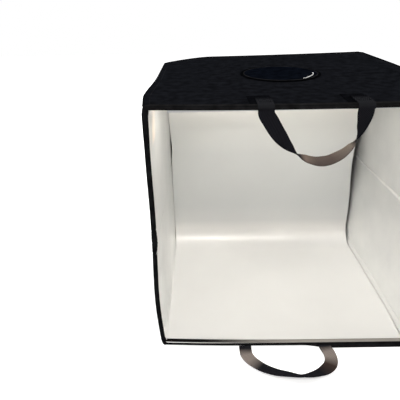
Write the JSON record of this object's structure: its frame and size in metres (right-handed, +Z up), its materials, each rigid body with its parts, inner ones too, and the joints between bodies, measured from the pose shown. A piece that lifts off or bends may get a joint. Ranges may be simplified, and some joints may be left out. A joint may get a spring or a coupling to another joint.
{
  "type": "folding light tent",
  "caption": "Folding light tent: open-fronted cube of stiffened fabric panels with a swept white sheet, lamp bars, a roof port and webbing carrying loops.",
  "frame": {"origin": "centre of the base's underside, between the side walls and from the front edge to the back panel's outer face", "axes": "+X to the right seen from the open front, +Y towards the back panel, +Z up"},
  "size_m": [0.5052, 0.5957, 0.5031],
  "materials": {
    "oxford": "matte",
    "binding": "satin",
    "silver_lining": "satin",
    "board": "matte",
    "white_sheet": "satin",
    "webbing": "matte",
    "hook_tape": "matte",
    "lamp_aluminium": "satin",
    "lamp_circuit": "gloss",
    "lamp_diffuser": "satin",
    "inlet_plastic": "gloss"
  },
  "bodies": {
    "base": {"bottom_cover": "oxford", "bottom_board": "board", "bottom_lining": "silver_lining", "bottom_left_edge": "oxford", "bottom_right_edge": "oxford", "bottom_front_binding": "binding", "back_hinge_welt": "oxford", "backdrop_sheet": "white_sheet"},
    "left_lower": {"left_lower_cover": "oxford", "left_lower_board": "board", "left_lower_lining": "silver_lining", "left_lower_binding": "binding", "left_crease_welt": "oxford"},
    "left_upper": {"left_upper_cover": "oxford", "left_upper_board": "board", "left_upper_lining": "silver_lining", "left_upper_binding": "binding"},
    "right_lower": {"right_lower_cover": "oxford", "right_lower_board": "board", "right_lower_lining": "silver_lining", "right_lower_binding": "binding", "right_crease_welt": "oxford"},
    "right_upper": {"right_upper_cover": "oxford", "right_upper_board": "board", "right_upper_lining": "silver_lining", "right_upper_binding": "binding"},
    "roof": {"top_cover": "oxford", "top_board": "board", "top_lining": "silver_lining", "top_left_edge": "oxford", "top_right_edge": "oxford", "top_front_binding": "binding", "top_loop_tape": "hook_tape", "port_rim": "binding", "backdrop_hook_tape": "hook_tape", "top_handle_left_tab": "webbing", "top_handle_right_tab": "webbing", "led_front_channel": "lamp_aluminium", "led_front_board": "lamp_circuit", "led_front_diffuser": "lamp_diffuser", "led_front_inlet": "inlet_plastic", "led_rear_channel": "lamp_aluminium", "led_rear_board": "lamp_circuit", "led_rear_diffuser": "lamp_diffuser", "led_rear_inlet": "inlet_plastic"},
    "back": {"back_cover": "oxford", "back_board": "board", "back_lining": "oxford", "back_hook_tape": "hook_tape"},
    "port_cover": {"port_cover": "oxford"},
    "top_handle": {"top_handle": "webbing"},
    "bottom_handle": {"bottom_handle": "webbing"}
  },
  "joints": [
    {"name": "fold", "type": "hinge", "parent": "base", "child": "left_lower", "pos_m": [-0.2427, 0, 0.0101], "axis": [0, 1, 0], "range_deg": [0, 90], "deforming": ["backdrop_sheet", "top_handle"]},
    {"name": "left_crease", "type": "hinge", "parent": "left_lower", "child": "left_upper", "pos_m": [-0.2517, 0, 0.24775], "axis": [0, 1, 0], "range_deg": [-180, 0]},
    {"name": "roof_hinge", "type": "hinge", "parent": "left_upper", "child": "roof", "pos_m": [-0.2427, 0, 0.4854], "axis": [0, 1, 0], "range_deg": [0, 90]},
    {"name": "right_base_hinge", "type": "hinge", "parent": "base", "child": "right_lower", "pos_m": [0.2427, 0, 0.0101], "axis": [0, 1, 0], "range_deg": [-90, 0]},
    {"name": "right_crease", "type": "hinge", "parent": "right_lower", "child": "right_upper", "pos_m": [0.2517, 0, 0.24775], "axis": [0, 1, 0], "range_deg": [0, 180]},
    {"name": "back_fold", "type": "hinge", "parent": "base", "child": "back", "pos_m": [0, 0.2517, 0.0012], "axis": [-1, 0, 0], "range_deg": [0, 90]},
    {"name": "port_cover_hinge", "type": "hinge", "parent": "roof", "child": "port_cover", "pos_m": [-0.0018, 0.0835, 0.5026], "axis": [-1, 0, 0], "range_deg": [0, 170]},
    {"name": "top_handle_swing", "type": "hinge", "parent": "roof", "child": "top_handle", "pos_m": [0.0125, -0.2534, 0.49335], "axis": [-1, 0, 0], "range_deg": [0, 170]},
    {"name": "bottom_handle_swing", "type": "hinge", "parent": "base", "child": "bottom_handle", "pos_m": [0, -0.2516, 0.00365], "axis": [-1, 0, 0], "range_deg": [0, 80]}
  ],
  "couplings": [
    {"joint": "left_crease", "follows": "fold", "ratio": -2},
    {"joint": "roof_hinge", "follows": "fold", "ratio": 1},
    {"joint": "right_base_hinge", "follows": "fold", "ratio": -1},
    {"joint": "right_crease", "follows": "fold", "ratio": 2}
  ]
}
